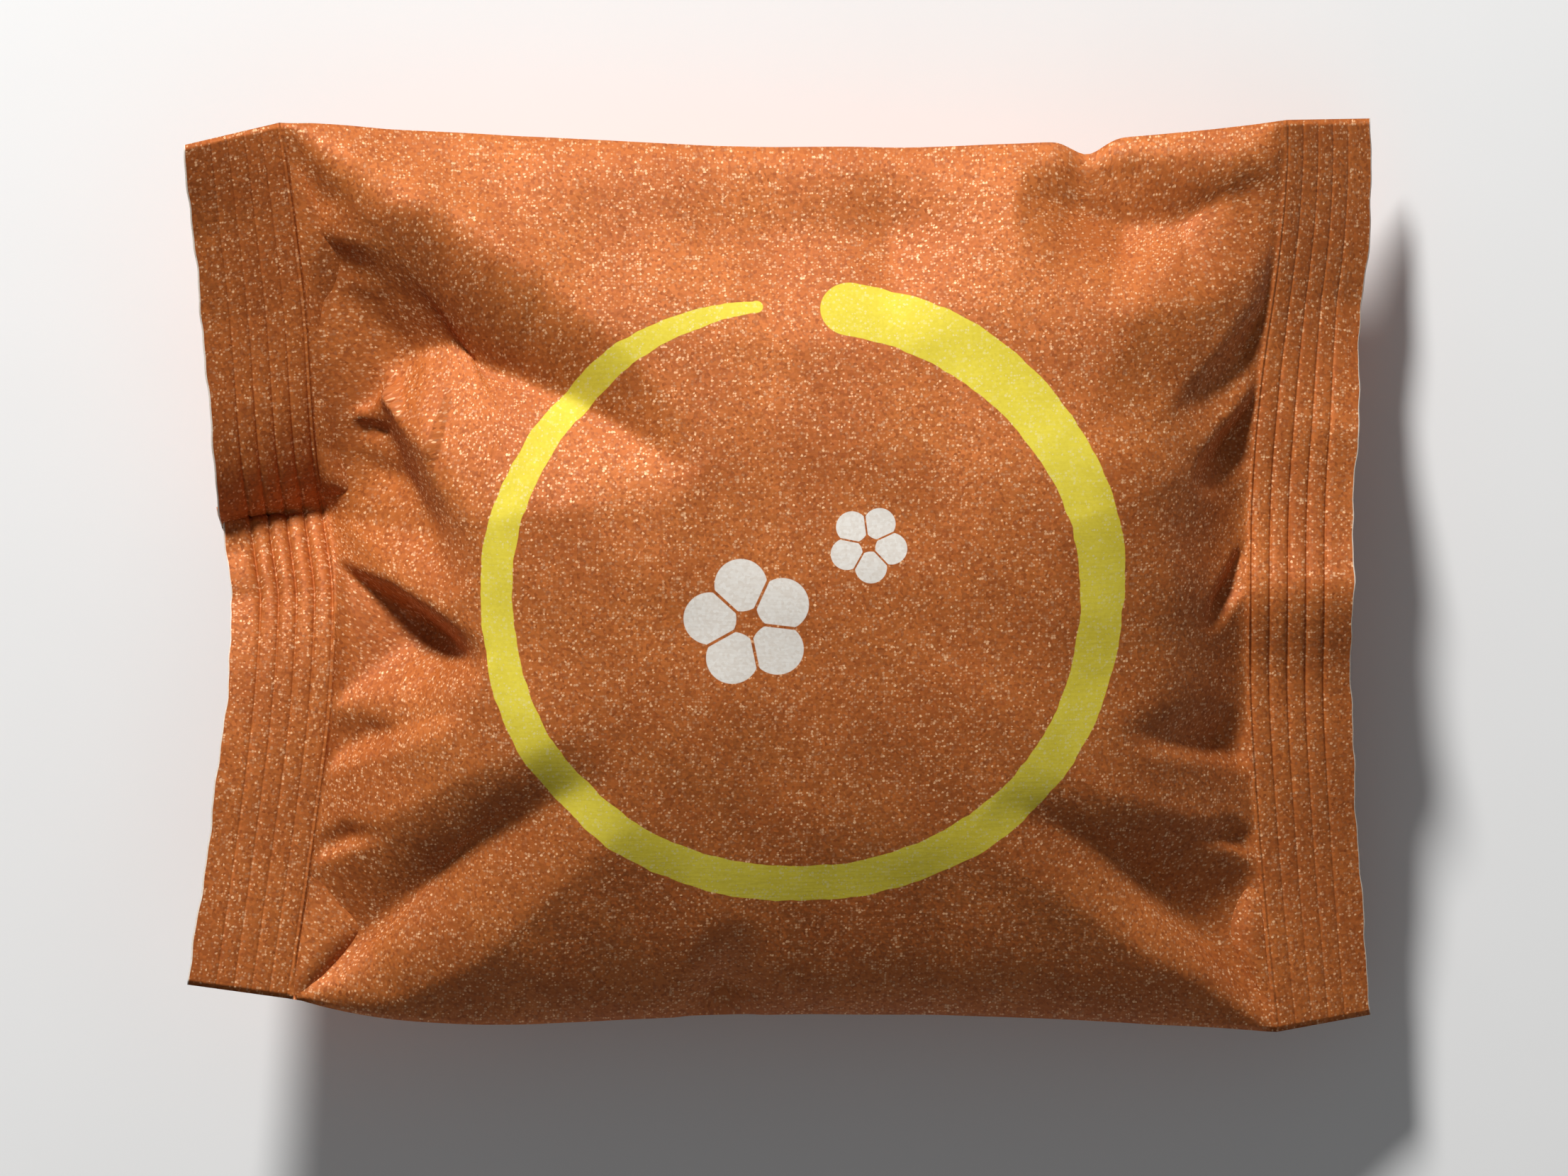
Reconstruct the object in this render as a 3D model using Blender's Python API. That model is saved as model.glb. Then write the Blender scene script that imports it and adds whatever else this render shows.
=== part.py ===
"""A dorayaki sealed in a paper pillow pack, lying on its back with the printed face up.

The paper starts as a flat tube. "along" runs the length of the tube and "across" runs from one
long fold to the other, both measured on the flat paper from the middle of the pack. Every point
of the pack is worked out from those two numbers: how high the cake lifts the paper there, and
how far that pulls the paper in.
"""

import bpy
import bmesh
import math
import numpy as np

MM = 0.001

# Paper tube, pressed flat
BODY_LENGTH = 115.0 * MM          # between the two end seals
TUBE_WIDTH = 106.0 * MM           # from long fold to long fold
SEAL_THICKNESS = 0.7 * MM         # both layers of paper with the crimp

# Crimp of the end seals
GROOVE_COUNT = 5
GROOVE_PITCH = 2.1 * MM
GROOVE_WIDTH = 0.7 * MM
GROOVE_DEPTH = 0.25 * MM
CUT_MARGIN = 3.3 * MM             # plain paper between the cut edge and the first groove
SEAL_WIDTH = CUT_MARGIN + (GROOVE_COUNT - 1) * GROOVE_PITCH + GROOVE_WIDTH / 2

# Cake inside, which sits a little towards the near long fold
CAKE_OFFSET = -3.5 * MM
FRONT_RISE = 15.6 * MM            # from the seal plane to the crown
BACK_RISE = 14.6 * MM
RESTING_SINK = 0.9 * MM           # how far the underside is pressed flat

# Seam of the tube: two edges sealed face to face and folded down along the back
FIN_WIDTH = 12.0 * MM
FIN_THICKNESS = 0.5 * MM
FIN_STEP = 0.4 * MM
FIN_CENTRE = 4.0 * MM

# How the paper gives way: the seals bow in at mid-height and droop at the corners
LEFT_BOW = 6.4 * MM
RIGHT_BOW = 2.4 * MM
EDGE_TUCK = 0.75                  # share of the paper's slope that pulls the long folds in

# Spacing of the faces: close where the paper creases, wide over the crown of the cake
CROWN = 33.0 * MM
CROWN_STEP = 4.8 * MM
CREASED_STEP = 2.5 * MM
ROW_STEP = 4.0 * MM
FOLD_MARGIN = 21.0 * MM
FOLD_ROW_STEP = 2.4 * MM

PAPER_COLOUR = (0.62, 0.235, 0.075, 1.0)


class Crease:
    """A straight fold in one face of the paper; a positive depth sinks it, a negative one lifts it."""

    def __init__(self, start, end, depth, reach):
        self.start = np.array(start) * MM
        self.end = np.array(end) * MM
        self.depth = depth * MM
        self.reach = reach * MM

    def sink(self, along, across):
        """Depth of the fold at each point: sharp on its line, fading over its reach and its ends."""
        run = self.end - self.start
        length = np.hypot(*run)
        from_start = np.stack([along - self.start[0], across - self.start[1]])
        place = np.clip((from_start[0] * run[0] + from_start[1] * run[1]) / length ** 2, 0.0, 1.0)
        off_line = np.hypot(from_start[0] - place * run[0], from_start[1] - place * run[1])
        flank = np.clip(1.0 - off_line / self.reach, 0.0, 1.0) ** 1.5
        return self.depth * flank * np.sin(math.pi * (0.12 + 0.76 * place))


# Folds in the printed face, in millimetres from the middle of the pack
FRONT_CREASES = (
    Crease((-57, 47), (-13, 15), 2.6, 9.0),
    Crease((-50, 27), (-30, 24), -1.3, 6.0),
    Crease((-48, 22), (-36, -6), 0.8, 6.0),
    Crease((-57, 5), (-40, 0), 2.6, 7.0),
    Crease((57, 49), (40, 20), 2.2, 8.0),
    Crease((55, 22), (44, 12), 1.4, 5.0),
    Crease((54, 2), (42, -6), 1.2, 6.0),
    Crease((36, 52), (37, 34), 1.3, 6.0),
    Crease((-57, -47), (-20, -22), 2.2, 9.0),
    Crease((-52, -22), (-38, -14), 1.0, 6.0),
    Crease((57, -48), (22, -24), 2.4, 9.0),
    Crease((54, -26), (40, -20), -1.0, 6.0),
)

# Folds in the back
BACK_CREASES = (
    Crease((-57, 46), (-24, 22), 2.2, 9.0),
    Crease((-57, -46), (-26, -24), 2.4, 9.0),
    Crease((57, 46), (22, 24), 2.2, 9.0),
    Crease((57, -46), (28, -22), 2.0, 9.0),
    Crease((-55, 10), (-42, 12), 1.4, 6.0),
    Crease((55, -12), (42, -8), 1.4, 6.0),
)


def clear_scene():
    for item in list(bpy.data.objects):
        bpy.data.objects.remove(item, do_unlink=True)


def spread(breaks, wide_step, close_step, close_beyond):
    """Positions that hit every break, in near-equal steps that are closer far from the middle."""
    places = [breaks[0]]
    for low, high in zip(breaks, breaks[1:]):
        step = close_step if min(abs(low), abs(high)) >= close_beyond else wide_step
        count = max(1, round((high - low) / step))
        places += [low + (high - low) * k / count for k in range(1, count + 1)]
    return np.array(places)


def columns():
    """Places along the tube: both sides and the bottom of every groove, then even steps."""
    half = BODY_LENGTH / 2
    seal = [half + SEAL_WIDTH]
    for groove in range(GROOVE_COUNT):
        centre = half + SEAL_WIDTH - CUT_MARGIN - groove * GROOVE_PITCH
        seal += [centre + GROOVE_WIDTH / 2, centre, centre - GROOVE_WIDTH / 2]
    breaks = sorted([-place for place in seal] + [-CROWN, CROWN] + seal)
    return spread(breaks, CROWN_STEP, CREASED_STEP, CROWN)


def rows():
    """Places across the tube, with both steps of the fin seam among them."""
    half = TUBE_WIDTH / 2
    low = FIN_CENTRE - FIN_WIDTH / 2
    high = FIN_CENTRE + FIN_WIDTH / 2
    far = half - FOLD_MARGIN
    breaks = [-half, -far, low - FIN_STEP, low, high, high + FIN_STEP, far, half]
    return spread(breaks, ROW_STEP, FOLD_ROW_STEP, far)


def swell(place, flatness, steepness):
    """1 over the middle of the cake and 0 where the two faces of the paper meet."""
    return np.clip(1.0 - np.abs(place) ** flatness, 0.0, 1.0) ** steepness


def soft_minimum(first, second):
    """The lower of two shares, with the ridge where they meet rounded off."""
    lower = np.minimum(first, second)
    blend = 0.5 * (first + second) * (1.0 - lower) + 1e-9
    overlap = np.clip(1.0 - np.abs(first - second) / blend, 0.0, 1.0)
    return lower - 0.25 * blend * overlap ** 2


def lift(along, across):
    """Share of the cake's height that the paper reaches, from 0 to 1."""
    half = TUBE_WIDTH / 2
    room = np.where(across > CAKE_OFFSET, half - CAKE_OFFSET, half + CAKE_OFFSET)
    lengthwise = swell(along / (BODY_LENGTH / 2), 3.2, 1.6)
    crosswise = swell((across - CAKE_OFFSET) / room, 4.0, 1.0)
    return soft_minimum(lengthwise, crosswise)


def folds(creases, along, across):
    """All the folds of one face, fading out at the seals and at the long folds."""
    inside = np.clip((BODY_LENGTH / 2 + 1.0 * MM - np.abs(along)) / (5.0 * MM), 0.0, 1.0)
    inside *= np.clip((TUBE_WIDTH / 2 - np.abs(across)) / (5.0 * MM), 0.0, 1.0)
    return inside * sum(crease.sink(along, across) for crease in creases)


def shortened(height, places, axis):
    """Distance from the first row that is left once the paper climbs over the given heights."""
    steps = np.diff(places, axis=axis)
    climbs = np.diff(height, axis=axis)
    level = np.sqrt(np.maximum(steps ** 2 - climbs ** 2, (0.3 * steps) ** 2))
    start = np.zeros_like(np.take(places, [0], axis=axis))
    return np.concatenate([start, np.cumsum(level, axis=axis)], axis=axis)


def crimp(along):
    """Depth of the pressed grooves, which both faces of a seal share."""
    from_cut = BODY_LENGTH / 2 + SEAL_WIDTH - np.abs(along)
    depth = np.zeros_like(from_cut)
    for groove in range(GROOVE_COUNT):
        centre = CUT_MARGIN + groove * GROOVE_PITCH
        depth += np.clip(1.0 - np.abs(from_cut - centre) / (GROOVE_WIDTH / 2), 0.0, 1.0)
    return GROOVE_DEPTH * depth


def fin(across):
    """Thickness that the folded seam adds to the back."""
    inside = FIN_WIDTH / 2 + FIN_STEP - np.abs(across - FIN_CENTRE)
    return FIN_THICKNESS * np.clip(inside / FIN_STEP, 0.0, 1.0)


def level_places(along, across, height):
    """Where the paper lies seen from above, before the seals are bent."""
    middle = along.shape[0] // 2
    length_used = shortened(height, along, 0)
    length_used -= length_used[middle:middle + 1]
    nearest = np.abs(across[0] - CAKE_OFFSET).argmin()
    width_used = shortened(height, across, 1)
    width_used -= width_used[:, nearest:nearest + 1]
    width_used += across[0, nearest]
    return length_used, across + EDGE_TUCK * (width_used - across)


def seal_line(end, share):
    """Bow and tilt of one seal; share runs from -1 at the near fold to 1 at the far fold."""
    bow = LEFT_BOW if end < 0 else RIGHT_BOW
    half = BODY_LENGTH / 2
    line = half - bow * (1.0 - share ** 2)
    lean = np.arctan(2.0 * bow * share / (TUBE_WIDTH / 2))
    droop = np.radians(12.0 + 18.0 * np.clip(share, 0.0, 1.0) ** 1.5 + 8.0 * np.clip(-share, 0.0, 1.0))
    return line, lean, droop


def buckle(end, share):
    """Height of the wave along a seal: the left one has a sharp kink just above its middle."""
    if end < 0:
        kink = -3.4 * MM * np.clip(1.0 - np.abs(share - 0.11) / 0.30, 0.0, 1.0) ** 1.3
        return kink + 1.0 * MM * np.sin(3.1 * share + 0.6)
    return 1.1 * MM * np.sin(4.2 * share + 1.9) - 0.9 * MM * np.clip(1.0 - np.abs(share + 0.05) / 0.16, 0.0, 1.0)


def bend_seals(along, across, level, height):
    """Give each end its bow, droop and buckle; returns the three coordinates of every point."""
    half = BODY_LENGTH / 2
    x, y = level
    z = height
    share = across / (TUBE_WIDTH / 2)
    for end in (-1, 1):
        side = end * along > 0
        line, lean, droop = seal_line(end, share)
        at_seal = np.abs(x[np.abs(end * along[:, 0] - half).argmin()])
        body = np.minimum(end * along / half, 1.0)
        out = np.maximum(end * along - half, 0.0)
        reach = out * np.cos(droop)
        new_x = end * (np.minimum(end * x, at_seal) * (line / at_seal) + reach * np.cos(lean))
        x = np.where(side, new_x, x)
        y = np.where(side, y - reach * np.sin(lean), y)
        hang = np.clip((body - 0.6) / 0.4, 0.0, 1.0) ** 2
        z = np.where(side, z + hang * buckle(end, share) - out * np.sin(droop), z)
    return x, y, z


def face_points(facing):
    """Grid of points of the printed face (facing = 1) or of the back (facing = -1)."""
    along, across = np.meshgrid(columns(), rows(), indexing="ij")
    rise, creases = (FRONT_RISE, FRONT_CREASES) if facing > 0 else (BACK_RISE, BACK_CREASES)
    height = rise * lift(along, across)
    level = level_places(along, across, (FRONT_RISE + BACK_RISE) / 2 * lift(along, across))
    height -= np.minimum(folds(creases, along, across), 0.85 * height)
    height = facing * (height + SEAL_THICKNESS / 2)
    if facing < 0:
        height -= fin(across)
    x, y, z = bend_seals(along, across, level, height)
    return np.stack([x, y, z - crimp(along)], axis=-1)


def rest_on_floor(front, back):
    """Press the underside flat at z = 0 and put the middle of the pack's outline at the origin."""
    floor = back[..., 2].min() + RESTING_SINK
    outline = np.concatenate([front.reshape(-1, 3), back.reshape(-1, 3)])
    middle = (outline.min(axis=0) + outline.max(axis=0)) / 2
    for grid in (front, back):
        grid[..., 0] -= middle[0]
        grid[..., 1] -= middle[1]
        grid[..., 2] -= floor
    back[..., 2] = np.maximum(back[..., 2], 0.0)


def paper_material():
    material = bpy.data.materials.new("copper_paper")
    material.use_nodes = True
    shader = material.node_tree.nodes["Principled BSDF"]
    shader.inputs["Base Color"].default_value = PAPER_COLOUR
    shader.inputs["Roughness"].default_value = 0.45
    shader.inputs["Metallic"].default_value = 0.25
    return material


def add_cell(shape, corners, rising):
    """Split one cell of a face along the diagonal that points from the pack's corner to its middle."""
    a, b, c, d = corners
    if rising:
        shape.faces.new((a, b, c))
        shape.faces.new((a, c, d))
    else:
        shape.faces.new((a, b, d))
        shape.faces.new((b, c, d))


def build_pack(collection):
    """Join the two faces along the cut edges and the long folds into one closed solid."""
    front = face_points(1)
    back = face_points(-1)
    rest_on_floor(front, back)
    shape = bmesh.new()
    top = [[shape.verts.new(point) for point in column] for column in front]
    bottom = [[shape.verts.new(point) for point in column] for column in back]
    last_column = len(top) - 1
    last_row = len(top[0]) - 1
    for i in range(last_column):
        for j in range(last_row):
            rising = (i < last_column / 2) == (j < last_row / 2)
            add_cell(shape, (top[i][j], top[i + 1][j], top[i + 1][j + 1], top[i][j + 1]), rising)
            add_cell(shape, (bottom[i][j], bottom[i][j + 1], bottom[i + 1][j + 1], bottom[i + 1][j]), rising)
        shape.faces.new((top[i][0], bottom[i][0], bottom[i + 1][0], top[i + 1][0]))
        shape.faces.new((top[i][last_row], top[i + 1][last_row], bottom[i + 1][last_row], bottom[i][last_row]))
    for j in range(last_row):
        shape.faces.new((top[0][j], top[0][j + 1], bottom[0][j + 1], bottom[0][j]))
        shape.faces.new((top[last_column][j], bottom[last_column][j],
                         bottom[last_column][j + 1], top[last_column][j + 1]))
    mesh = bpy.data.meshes.new("dorayaki_pack")
    shape.to_mesh(mesh)
    shape.free()
    mesh.shade_smooth()
    mesh.set_sharp_from_angle(angle=math.radians(40))
    mesh.materials.append(paper_material())
    pack = bpy.data.objects.new("dorayaki_pack", mesh)
    collection.objects.link(pack)
    return pack


def main():
    clear_scene()
    collection = bpy.data.collections.new("wrapped_dorayaki")
    bpy.context.scene.collection.children.link(collection)
    build_pack(collection)


main()
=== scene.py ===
"""A dorayaki sealed in a copper paper pillow pack, lying on its back on a pale floor.

The paper is worked out in millimetres and turned into metres when its mesh is made. "along" and
"across" are places on the flat paper, from the middle of the printed face: along runs from the
left end seal to the right one, across from the near long fold to the far one. The tube of paper
is a grid of points. Each of its columns goes once round the cake, from the near fold over the
face to the far fold and back over the rear, and GIRTH is how many points that takes.
"""

import math

import bpy
import numpy as np
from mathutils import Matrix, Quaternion, Vector


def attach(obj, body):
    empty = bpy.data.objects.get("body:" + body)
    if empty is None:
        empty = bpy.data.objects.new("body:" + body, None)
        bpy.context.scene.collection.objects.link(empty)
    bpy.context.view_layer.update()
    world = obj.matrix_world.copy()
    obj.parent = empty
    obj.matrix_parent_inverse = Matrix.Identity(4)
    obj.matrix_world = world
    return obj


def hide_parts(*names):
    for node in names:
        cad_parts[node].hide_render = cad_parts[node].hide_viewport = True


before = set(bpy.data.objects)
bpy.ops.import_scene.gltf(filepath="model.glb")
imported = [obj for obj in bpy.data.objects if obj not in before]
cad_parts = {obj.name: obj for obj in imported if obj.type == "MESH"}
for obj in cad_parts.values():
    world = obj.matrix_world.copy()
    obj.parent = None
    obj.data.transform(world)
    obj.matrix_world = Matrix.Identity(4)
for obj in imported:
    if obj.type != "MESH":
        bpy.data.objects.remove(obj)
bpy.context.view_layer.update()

MM = 0.001
NODE = "dorayaki_pack"

# Paper tube, pressed flat, and how finely its grid is divided. Crowding draws the columns towards
# the seals.
HALF_BODY = 58.0
HALF_TUBE = 53.0
GIRTH = 300
BODY_COLUMNS = 189
CROWDING = 0.28

# Half the thickness of a seal's two layers, and the crimp: grooves along the cut edge, pressed
# deepest in the middle of the seal
HALF_SEAL = 0.16
GROOVE_COUNT = 5
GROOVE_PITCH = 2.1
GROOVE_WIDTH = 0.6
GROOVE_DEPTH = 0.28
GROOVE_POWER = 1.2
GROOVE_COLUMNS = (-1, -0.6, -0.25, 0, 0.25, 0.6, 1)
LEAST_BITE = 0.3
BITE_REACH = 22.0

# Pleats between the grooves where the left seal is crushed. They start a little in from the cut
# edge and keep a share of their depth at the inner line.
PLEAT_DEPTH = 0.5
PLEAT_PLACE = -2.0
PLEAT_REACH = 6.5
PLEAT_START = 1.5
PLEAT_INNER_SHARE = 0.6

# Cut edge of a seal: waves of the knife as height, length and phase, how far in they are felt, and
# a shift that makes the two ends differ
CUT_RIM = 0.13
CUT_MARGIN = 3.3
INNER_MARGIN = 0.35
COLUMN_GAP = 0.7
KNIFE_WAVES = ((0.11, 3.1, 0.0), (0.07, 1.27, 1.0), (0.04, 0.61, 0.0))
KNIFE_REACH = 2.0
KNIFE_SHIFT = 200.0
SEAL_WIDTH = CUT_MARGIN + (GROOVE_COUNT - 1) * GROOVE_PITCH + INNER_MARGIN

# Swelling of the paper over the cake. A fullness is a power, for the face and for the rear: the
# higher it is, the nearer to the edge the paper stays full. END_DRAW is how far in from the ends
# the bent seals pull the body along.
CAKE_OFFSET = -3.5
FACE_RISE = 13.7
REAR_RISE = 13.4
FULLNESS_ALONG = (4.0, 3.2)
FULLNESS_ACROSS = (2.1, 4.0)
END_TAPER = 1.6
FLAT_SPOT = 0.6
END_DRAW = 30.0

# Long folds: round hems, drawn in by the swelling, more so to the right, with a small nick in the
# far one
EDGE_BOW = 3.0
BOW_SKEW = 0.3
NICK_DEPTH = 1.5
NICK_PLACE = 34.6
NICK_REACH = 2.2
NICK_POWER = 16
HEM_ROUND = 2.0
HEM_WIDTH = 1.8

# How deep a fold may sink, as a share of the swelling, how steep it is at its line, and how folds
# fade at the edges of the tube
LEFT_GIVE = 1.6
RIGHT_GIVE = 1.0
LEAST_GIVE = 0.4
FOLD_POWER = 1.3
END_FADE = 1.5
HEM_FADE = 5.0
HEM_SHARE = 0.35

# Waves of paper that has been handled, and a shift that makes the rear differ from the face
WAVE_SEED = 7
WAVE_COUNT = 16
WAVE_LENGTHS = (7.0, 22.0)
WAVE_STEEPNESS = 0.0024
REAR_SHIFT = 40.0

# Lengthwise seam folded down on the back. Its free edge curls up a little, and the floor presses
# it flat where the pack rests on it.
FIN_CENTRE = 4.0
FIN_WIDTH = 12.0
FIN_ROWS = 41
FIN_THICKNESS = 0.3
FIN_RIDGE = 0.07
FIN_GAP = 0.04
FIN_CURL = 0.35
CURL_SHARE = 0.25
FIN_ROOM = 0.5
FIN_BEDDING = 0.12
FLOOR_GAP = 0.02
PRESSED_RIDGE = 0.05

# Places on the flat paper that lie well away from the print
SEAM_PLACE = 200.0
CORE_PLACE = 300.0

# Where the seals' inner lines end at the far long fold, and their mean height above the floor
SEAL_CORNER = {-1: (-57.3, 52.9), 1: (57.3, 52.9)}
SEAL_HEIGHT = 14.0

# Turns of the seals in degrees, by place across the tube: sideways lean, slope up the line, and
# droop, which is negative where the seal stands up
LEFT_LEAN = ((-53, 9), (-25, 8), (-8, 0), (-2, -9), (4, -11), (10, -7), (17, -3), (25, -2.5), (35, -6),
             (45, -7), (53, -10))
LEFT_SLOPE = ((-40, -4), (-26, 2), (-16, -2), (-8, -18), (0, -42), (5.2, -40), (6.0, 42), (9.5, 36),
              (14, 22), (22, 9), (46, 9), (53, 4))
LEFT_DROOP = ((-53, -14), (-30, -8), (-12, 6), (-5, 10), (1, 4), (5, -12), (9, -22), (15, -20), (23, -16),
              (31, -14), (42, -17), (53, -26))
RIGHT_LEAN = ((-53, -7), (-20, -4), (-5, 0), (5, 1), (18, 5), (30, 9), (43, 5), (53, 0))
RIGHT_SLOPE = ((-40, 0), (-28, 6), (-15, 2), (-7, 16), (-3, 10), (1, -20), (6, -10), (15, 0), (26, -4),
               (53, -2))
RIGHT_DROOP = ((-53, 22), (-20, 12), (0, 4), (18, 8), (26, 20), (33, 29), (40, 29), (53, 34))
SEAL_TURNS = {-1: (LEFT_LEAN, LEFT_SLOPE, LEFT_DROOP), 1: (RIGHT_LEAN, RIGHT_SLOPE, RIGHT_DROOP)}

# Folds: rounding, then stations of place x and y, depth, and reach to the left and to the right of
# the way along the fold. A negative depth stands proud.
LEFT_FOLDS = (
    # Long fold from the crushed seal into the ring
    (0.4, (-55.5, 15, 2.0, 14, 1.2), (-52.3, 19.5, 4.6, 16, 1.8), (-49.8, 25.0, 7.6, 18, 4.5),
     (-41, 27.8, 8.8, 15.5, 15), (-31, 25.6, 7.2, 11, 18), (-25, 23.0, 5.6, 8.5, 16),
     (-19.5, 20.0, 3.8, 6.5, 12), (-15, 17.0, 1.8, 5, 8), (-10, 13.5, 0, 4, 5)),
    # Hollow and ridge that run in from the far corner
    (1.5, (-57, 50, 1.2, 3, 3), (-52, 44, 1.8, 5, 6), (-46, 40, 0.8, 5, 6), (-38, 35, 0, 5, 6)),
    (1.6, (-56, 50.5, -0.4, 4, 4), (-50, 47, -1.5, 5, 8), (-42, 42.5, -1.9, 6, 9),
     (-33, 37, -1.7, 6, 8), (-25, 31.5, -1.0, 5, 7), (-17, 26, 0, 5, 6)),
    # Valley from the long fold down beside the ring
    (1.0, (-51.5, 25.5, 3.0, 5, 5), (-49.6, 18.5, 4.6, 6.2, 6), (-46.2, 12, 4.2, 6.4, 6),
     (-42, 6.5, 2.8, 5.6, 5), (-37, -0.5, 0, 4, 4)),
    # Short creases and ridges beside the seal
    (0.2, (-53, 15.5, 0.8, 2, 3), (-49, 12, 1.1, 2, 4), (-43.5, 9, 0, 2, 3)),
    (0.2, (-54, 19.8, -1.0, 2.2, 1.5), (-50.8, 18.8, -2.1, 2.6, 1.1), (-47.4, 17.8, 0, 1.8, 1.0)),
    (0.1, (-54, 17.4, 0.8, 0.8, 2.0), (-50.6, 16.8, 1.3, 0.8, 2.0), (-47.6, 16.6, 0, 0.8, 1.5)),
    (0.2, (-53.5, 27.5, 0.8, 1, 2), (-50.5, 26.3, 1.6, 1.2, 1.8), (-48.0, 26, 0, 1.2, 1.5)),
    (0.5, (-55, 40.5, -0.5, 3, 2.4), (-50, 39.5, -0.7, 3, 2.4), (-45, 38.5, 0, 3, 2.4)),
    (0.4, (-55.5, 34.5, -0.3, 2, 1.6), (-51.5, 33.6, -0.5, 2, 1.6), (-47, 33, 0, 2, 1.4)),
    # Deep hollow at the foot of the crush
    (0.5, (-56, 0.6, 2.0, 2.5, 6), (-51.5, -1.6, 7.0, 3.6, 9), (-46.5, -4.0, 9.0, 4.6, 11),
     (-41.5, -6.4, 7.0, 4.4, 10), (-34, -9, 0, 3, 6)),
)
RIGHT_FOLDS = (
    # Two ridges that run down from the seal, each with its valley
    (0.4, (56.6, 49.5, -0.5, 2, 4), (56.8, 43, -1.1, 3, 7), (56, 37.5, -1.2, 4, 8), (53.4, 32, -1.2, 5, 9),
     (48.6, 26.5, -1.1, 4.5, 8), (44.6, 22.3, -0.6, 4, 6), (41, 19.5, 0, 3, 5)),
    (0.5, (57, 47, 0.5, 1.5, 2), (57.5, 38, 1.1, 2, 3), (56, 31, 1.4, 3, 4), (52.8, 26, 1.3, 4, 4),
     (48, 21.8, 0.5, 3, 3), (44, 19.5, 0, 2, 2)),
    (0.3, (54.4, 26.5, -0.5, 2, 3), (52.4, 22.8, -1.0, 2.5, 4), (50, 19.6, -1.1, 3, 5),
     (47.2, 16.7, -0.7, 3, 4), (45, 15, 0, 3, 4)),
    (0.3, (54.6, 20, 1.0, 2, 2), (52, 16, 2.0, 3, 3), (48.5, 13, 1.0, 3, 3), (46, 11, 0, 2, 2)),
    # Soft swellings over the rim of the cake and under the ring
    (3.0, (37, 20, 0, 8, 12), (41, 12, -1.0, 8, 12), (42.5, 2, -1.2, 8, 12), (42, -10, -1.0, 8, 12),
     (38, -22, 0, 8, 12)),
    (3.0, (18, 2, 0, 10, 12), (27, 5, -0.9, 11, 15), (34.5, 9, -1.5, 11, 15), (43, 15.5, -0.9, 8, 12),
     (48, 20, 0, 6, 8)),
    # Sharp crease from the seal's bend
    (0.15, (56, 4.6, 1.4, 1.2, 1.6), (53, 2.2, 2.8, 1.4, 2.2), (50.5, -1.2, 2.0, 1.4, 2.0),
     (48, -5, 0, 1.4, 2)),
)
FAR_FOLDS = (
    # Crease from the nick, and the hollows along the far long fold
    (0.3, (33.0, 52, 1.6, 3, 2), (35, 49.5, 1.6, 3, 3), (38, 47.5, 0.8, 3, 3), (42, 47, 0, 3, 3)),
    (0.8, (27, 46, 0, 4, 5), (33, 44.5, 3.2, 5.5, 9), (39, 43.0, 5.4, 6.5, 11), (46, 42.8, 4.4, 6, 10),
     (52, 44, 2.2, 5, 7), (56, 46.5, 0, 3, 4)),
    (2.5, (-24, 43, 0, 6, 9), (-8, 41.5, 1.8, 8, 11), (12, 41, 2.6, 8, 11), (26, 43, 0, 6, 9)),
)
NEAR_FOLDS = (
    # From the left corner
    (1.2, (-57, -45, 1.5, 4, 4), (-50, -40, 4.0, 8, 9), (-41, -34, 4.6, 8, 10), (-31, -27, 3.0, 7, 8),
     (-19, -20, 0, 5, 5)),
    (0.4, (-53, -20, 0.8, 3, 2), (-48, -17, 1.9, 4, 2.6), (-42, -15, 1.2, 4, 2.6), (-35, -13, 0, 3, 2)),
    (0.2, (-54, -31, 0.8, 2, 1.4), (-50, -29, 1.3, 2, 1.4), (-46, -28, 0, 2, 1.4)),
    # From the right corner
    (0.8, (57, -47, 1.5, 4, 3), (51, -40, 4.0, 6, 7), (43, -34, 4.2, 7, 8), (33, -28, 2.2, 6, 6),
     (24, -23, 0, 5, 5)),
    (0.3, (54.5, -20, 0.8, 2, 3), (50, -18, 1.9, 2.4, 4), (44, -17, 1.0, 2.4, 4), (38, -16, 0, 2, 3)),
    (0.2, (55, -31, 0.8, 1.4, 2), (51, -29, 1.3, 1.4, 2), (47, -28.5, 0, 1.4, 2)),
    # Dent in the long fold
    (1.0, (-8, -52, 1.4, 4, 4), (-7, -46, 1.6, 4, 5), (-4, -38, 0, 4, 4)),
)
FACE_FOLDS = LEFT_FOLDS + RIGHT_FOLDS + FAR_FOLDS + NEAR_FOLDS
REAR_FOLDS = (
    # One from each corner
    (1.0, (-56, 44, 1.0, 4, 4), (-46, 36, 3.0, 6, 7), (-34, 28, 2.0, 6, 6), (-24, 22, 0, 5, 5)),
    (1.0, (56, 44, 1.0, 4, 4), (46, 37, 3.0, 7, 6), (34, 28, 2.0, 6, 6), (24, 23, 0, 5, 5)),
    (0.9, (-56, -44, 1.0, 4, 4), (-46, -37, 3.0, 7, 6), (-33, -29, 2.0, 6, 6), (-22, -23, 0, 5, 5)),
    (0.9, (56, -44, 1.0, 4, 4), (45, -36, 3.0, 6, 7), (34, -28, 2.0, 6, 6), (24, -22, 0, 5, 5)),
    # One from the middle of each seal
    (0.3, (-53, 12, 0.8, 3, 3), (-46, 9, 1.8, 3, 3), (-38, 8, 0, 3, 3)),
    (0.3, (53, -12, 0.8, 3, 3), (46, -10, 1.8, 3, 3), (38, -9, 0, 3, 3)),
)


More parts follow.
